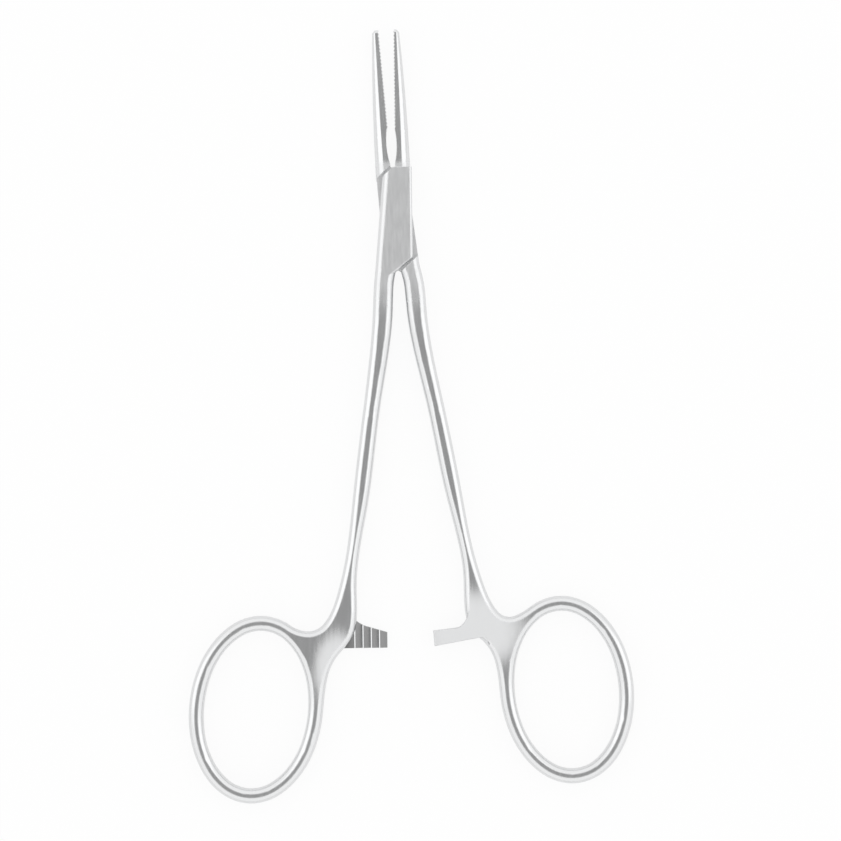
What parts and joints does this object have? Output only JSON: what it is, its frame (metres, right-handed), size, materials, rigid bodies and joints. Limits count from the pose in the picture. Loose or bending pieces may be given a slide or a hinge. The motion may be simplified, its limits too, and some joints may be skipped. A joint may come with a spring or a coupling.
{
  "type": "mosquito forceps",
  "caption": "Straight mosquito haemostat: slim serrated jaws, riveted box lock, long shanks, oval finger rings and a stepped ratchet.",
  "frame": {"origin": "centre of the lock pin's lower end, on the flat underside of the box lock that the forceps rest on", "axes": "+Y from the rings towards the jaw tips, along the instrument; +Z along the lock pin, up from the rest face; +X towards the side that the box arm's jaw is on"},
  "size_m": [0.072, 0.125, 0.0042],
  "materials": {
    "arm_steel": "satin, with polished edges",
    "pin_steel": "satin, ground flush with the lock"
  },
  "bodies": {
    "box_side": {"box_arm": "arm_steel", "lock_pin": "pin_steel"},
    "tongue_side": {"tongue_arm": "arm_steel"}
  },
  "joints": [
    {"name": "lock_pivot", "type": "hinge", "parent": "box_side", "child": "tongue_side", "pos_m": [0, 0, 0], "axis": [0, 0, 1], "range_deg": [-4.7, 75]}
  ]
}
